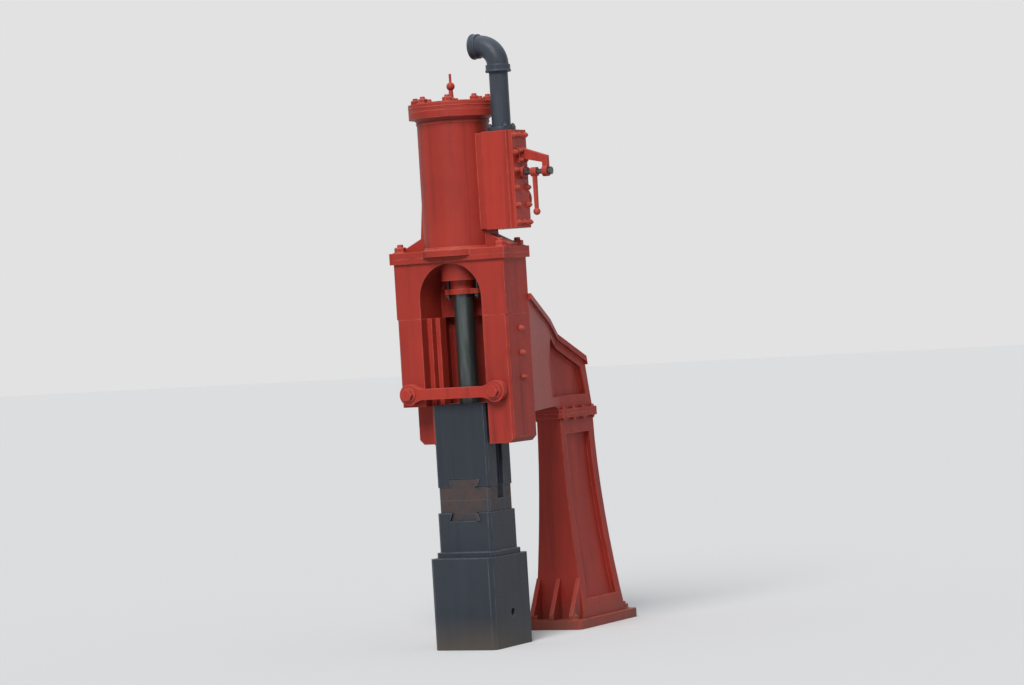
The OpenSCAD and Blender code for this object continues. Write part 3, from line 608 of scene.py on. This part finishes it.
# Angles of the four nuts round a pipe's flange
QUARTERS = math.pi / 4 + np.arange(4) * math.pi / 2


def chest_nut_places(face_x):
    """Places down both sides of the chest's cover, and one in the middle of each end."""
    side_inset, end_inset = 0.018, 0.025
    cover_low, cover_high = low("chest_cover"), high("chest_cover")
    ends = (cover_low[2] + end_inset, cover_high[2] - end_inset)
    sides = (cover_low[1] + side_inset, cover_high[1] - side_inset)
    places = [((face_x, y, z), RIGHT) for y in sides for z in np.linspace(*ends, 6)]
    return places + [((face_x, 0.0, z), RIGHT) for z in ends]


def bracket_nut_places(face_x):
    """Places of the four nuts on the foot of the lever's bracket."""
    foot, half_width, drops = 0.014, 0.021, (0.014, 0.058)
    top_z = high("lever_bracket")[2]
    return [((face_x + foot, side * half_width, top_z - drop), RIGHT)
            for side in (-1, 1) for drop in drops]


def pipe_nut_places(centre_x):
    """Four places round the flange under the steam pipe."""
    riser_low, riser_high = low("steam_riser"), high("steam_riser")
    pitch_r = (riser_high[0] - riser_low[0]) / 2 - 0.011
    top_z = riser_low[2] + 0.018
    return [((centre_x + pitch_r * math.cos(a), pitch_r * math.sin(a), top_z), UP)
            for a in QUARTERS]


def exhaust_nut_places():
    """Four places round the exhaust's flange, on the side that faces the chest."""
    pitch_r, flange = 0.056, 0.016
    x, _, z = middle("exhaust_branch")
    back_y = high("exhaust_branch")[1] - flange
    return [((x + pitch_r * math.cos(a), back_y, z + pitch_r * math.sin(a)), FRONT)
            for a in QUARTERS]


def elbow_bead_parts(centre_x):
    """Beads round the two collars of the elbow, each half its width inside the collar's end."""
    width, height, bite = 0.012, 0.004, 0.001
    elbow_low, elbow_high = low("steam_elbow"), high("steam_elbow")
    collar_r = (elbow_high[1] - elbow_low[1]) / 2
    foot = (centre_x, 0, elbow_low[2] + width / 2)
    mouth = (elbow_low[0] + width / 2, 0, elbow_high[2] - collar_r)
    return [turned_bead(foot, UP, collar_r - bite, width, height),
            turned_bead(mouth, RIGHT, collar_r - bite, width, height)]


class HAMMER_OT_chest_trim(bpy.types.Operator):
    """Bolt the chest's cover, the pipe's flange and the exhaust's flange, and bead the elbow"""

    bl_idname = "hammer.chest_trim"
    bl_label = "Steam chest trim"

    def execute(self, context):
        colours = palette()
        face_x = low("lever_bracket")[0]
        pipe_x = middle("steam_riser")[0]
        nut_piece("chest_cover_nuts", chest_nut_places(face_x), "frame",
                  colours.red_small, size=0.62)
        nut_piece("bracket_nuts", bracket_nut_places(face_x), "frame",
                  colours.red_small, size=0.5)
        nut_piece("pipe_flange_nuts", pipe_nut_places(pipe_x), "frame",
                  colours.pipe, size=0.5)
        nut_piece("exhaust_flange_nuts", exhaust_nut_places(), "frame",
                  colours.red_small, size=0.5)
        beads = mesh_object(
            "elbow_beads", *joined(elbow_bead_parts(pipe_x)), colours.pipe, smooth=True)
        ride_as(beads, "frame")
        bearing = (high("chest_cover")[0] - 0.004, 0, middle("valve_spindle")[2])
        bead = mesh_object(
            "bearing_bead", *turned_bead(bearing, RIGHT, 0.0285, 0.008, 0.0025, 48),
            colours.red_small, smooth=True)
        ride_as(bead, "frame")
        return {"FINISHED"}


def joint_nut_places():
    """Places in rows along both sides of the joint, over and under its two flanges."""
    sizes = bpy.context.scene.hammer_fastenings
    flange, half = sizes.joint_flange, sizes.joint_half - 0.0095
    joint_z = high("standard_column")[2]
    front = low("standard_column")[1] + flange
    places = []
    for x in (-half, half):
        for y in np.linspace(front + 0.02, front + 0.33, 4):
            places.append(((x, y, joint_z + flange), UP))
            places.append(((x, y, joint_z - flange), -UP))
    return places


def foot_nut_places():
    """Places of the holding-down bolts, from the mount in the foot plate."""
    mount = next(row for row in FRAME["record"]["mounts"] if row["name"] == "foot_bolts")
    across = mount["dims"]["spacing_x_mm"] / 2000
    along = mount["dims"]["spacing_y_mm"] / 2000
    x_mid, y_mid = mount["pos_m"][:2]
    top_z = high("foot_plate")[2]
    return [((x_mid + x, y_mid + y, top_z), UP)
            for x in (-across, across) for y in (-along, along)]


class HAMMER_OT_standard_trim(bpy.types.Operator):
    """Put the bolts in the joint of the standard and in its foot"""

    bl_idname = "hammer.standard_trim"
    bl_label = "Standard trim"

    def execute(self, context):
        colours = palette()
        nut_piece("joint_nuts", joint_nut_places(), "frame", colours.red_small,
                  size=0.42)
        nut_piece("foot_nuts", foot_nut_places(), "frame", colours.red_small,
                  size=1.15)
        return {"FINISHED"}


class HAMMER_OT_guide_trim(bpy.types.Operator):
    """Put the screws that hold the guide strips through the jaws"""

    bl_idname = "hammer.guide_trim"
    bl_label = "Guide trim"

    def execute(self, context):
        colours = palette()
        jaw_low, jaw_high = low("right_jaw"), high("right_jaw")
        heights = np.linspace(jaw_low[2] + 0.3, jaw_high[2] - 0.07, 3)
        places = [((side * jaw_high[0], 0.0, z), side * RIGHT) for side in (-1, 1) for z in heights]
        nut_piece("guide_screws", places, "frame", colours.red_small, size=0.6)
        return {"FINISHED"}


# Floor, light and camera

FLOOR_GREY = (0.72, 0.72, 0.72, 1)
BACKDROP_GREY = (0.76, 0.76, 0.76, 1)
SKY_COLOUR = (0.9, 0.94, 1.0, 1)


def pale_floor():
    """Flat square floor, much wider than the view."""
    maker = NodeMaker("pale_floor")
    maker.shader.inputs["Base Color"].default_value = FLOOR_GREY
    maker.shader.inputs["Roughness"].default_value = 0.95
    span = 60.0
    corners = [(-span, -span, 0), (span, -span, 0), (span, span, 0), (-span, span, 0)]
    floor = mesh_object("floor", corners, [np.array([[0, 1, 2, 3]])], maker.material)


def overcast_world(scene, strength):
    """World that lights the hammer as a dull sky, and looks pale grey to the camera and in metal."""
    world = bpy.data.worlds.new("overcast")
    scene.world = world
    world.use_nodes = True
    tree = world.node_tree
    tree.nodes.clear()
    light_path = tree.nodes.new("ShaderNodeLightPath")
    seen = tree.nodes.new("ShaderNodeMath")
    seen.operation = "MAXIMUM"
    tree.links.new(light_path.outputs["Is Camera Ray"], seen.inputs[0])
    tree.links.new(light_path.outputs["Is Glossy Ray"], seen.inputs[1])
    sky = tree.nodes.new("ShaderNodeBackground")
    sky.inputs["Color"].default_value = SKY_COLOUR
    sky.inputs["Strength"].default_value = strength
    shown = tree.nodes.new("ShaderNodeBackground")
    shown.inputs["Color"].default_value = BACKDROP_GREY
    shown.inputs["Strength"].default_value = 1.0
    mixed = tree.nodes.new("ShaderNodeMixShader")
    output = tree.nodes.new("ShaderNodeOutputWorld")
    tree.links.new(seen.outputs[0], mixed.inputs[0])
    tree.links.new(sky.outputs[0], mixed.inputs[1])
    tree.links.new(shown.outputs[0], mixed.inputs[2])
    tree.links.new(mixed.outputs[0], output.inputs[0])


def soft_sun(scene, strength):
    """Wide sun behind the camera and a little to its left, as through thin cloud."""
    sun_data = bpy.data.lights.new("soft_sun", "SUN")
    sun_data.energy = strength
    sun_data.angle = math.radians(30)
    sun = bpy.data.objects.new("soft_sun", sun_data)
    sun.rotation_euler = (math.radians(50), 0, math.radians(14))
    scene.collection.objects.link(sun)


def place_camera(scene, view):
    """Camera at its place, turned to the aim and rolled about its view."""
    camera_data = bpy.data.cameras.new("camera")
    camera_data.sensor_width = 36.0
    camera_data.lens = view.lens
    camera_data.clip_end = 200.0
    camera = bpy.data.objects.new("camera", camera_data)
    place = Vector(view.camera_place)
    facing = (Vector(view.aim) - place).to_track_quat("-Z", "Y").to_matrix().to_4x4()
    roll = Matrix.Rotation(view.roll, 4, "Z")
    camera.matrix_world = Matrix.Translation(place) @ (facing @ roll)
    scene.collection.objects.link(camera)
    scene.camera = camera


class HAMMER_OT_stage(bpy.types.Operator):
    """Set the pale floor, the soft light and the camera"""

    bl_idname = "hammer.stage"
    bl_label = "Stage"

    def execute(self, context):
        scene = context.scene
        view = scene.hammer_view
        pale_floor()
        overcast_world(scene, view.sky)
        soft_sun(scene, view.sun)
        place_camera(scene, view)
        scene.view_settings.view_transform = "Standard"
        return {"FINISHED"}


class HAMMER_PT_panel(bpy.types.Panel):
    """Sidebar panel that lists the groups of pieces and their sizes"""

    bl_label = "Steam hammer"
    bl_idname = "HAMMER_PT_panel"
    bl_space_type = "VIEW_3D"
    bl_region_type = "UI"
    bl_category = "Hammer"

    def draw(self, context):
        layout = self.layout
        for group in (context.scene.hammer_finish, context.scene.hammer_fastenings,
                      context.scene.hammer_view):
            box = layout.box()
            for name in group.__annotations__:
                box.prop(group, name)
        for operator in OPERATORS:
            layout.operator(operator.bl_idname)


OPERATORS = (
    HAMMER_OT_finishes,
    HAMMER_OT_cylinder_trim,
    HAMMER_OT_chest_trim,
    HAMMER_OT_standard_trim,
    HAMMER_OT_guide_trim,
    HAMMER_OT_stage,
)
GROUPS = (HammerFinish, HammerFastenings, HammerView)


def register():
    """Register the groups, the operators and the panel."""
    for made in (*GROUPS, *OPERATORS, HAMMER_PT_panel):
        bpy.utils.register_class(made)
    bpy.types.Scene.hammer_finish = PointerProperty(type=HammerFinish)
    bpy.types.Scene.hammer_fastenings = PointerProperty(type=HammerFastenings)
    bpy.types.Scene.hammer_view = PointerProperty(type=HammerView)


def unregister():
    """Take back what register added."""
    del bpy.types.Scene.hammer_view
    del bpy.types.Scene.hammer_fastenings
    del bpy.types.Scene.hammer_finish
    for made in (HAMMER_PT_panel, *reversed(OPERATORS), *reversed(GROUPS)):
        bpy.utils.unregister_class(made)


def main():
    """Build every group of pieces."""
    register()
    bpy.ops.hammer.finishes()
    bpy.ops.hammer.cylinder_trim()
    bpy.ops.hammer.chest_trim()
    bpy.ops.hammer.standard_trim()
    bpy.ops.hammer.guide_trim()
    bpy.ops.hammer.stage()


if __name__ == "__main__":
    main()
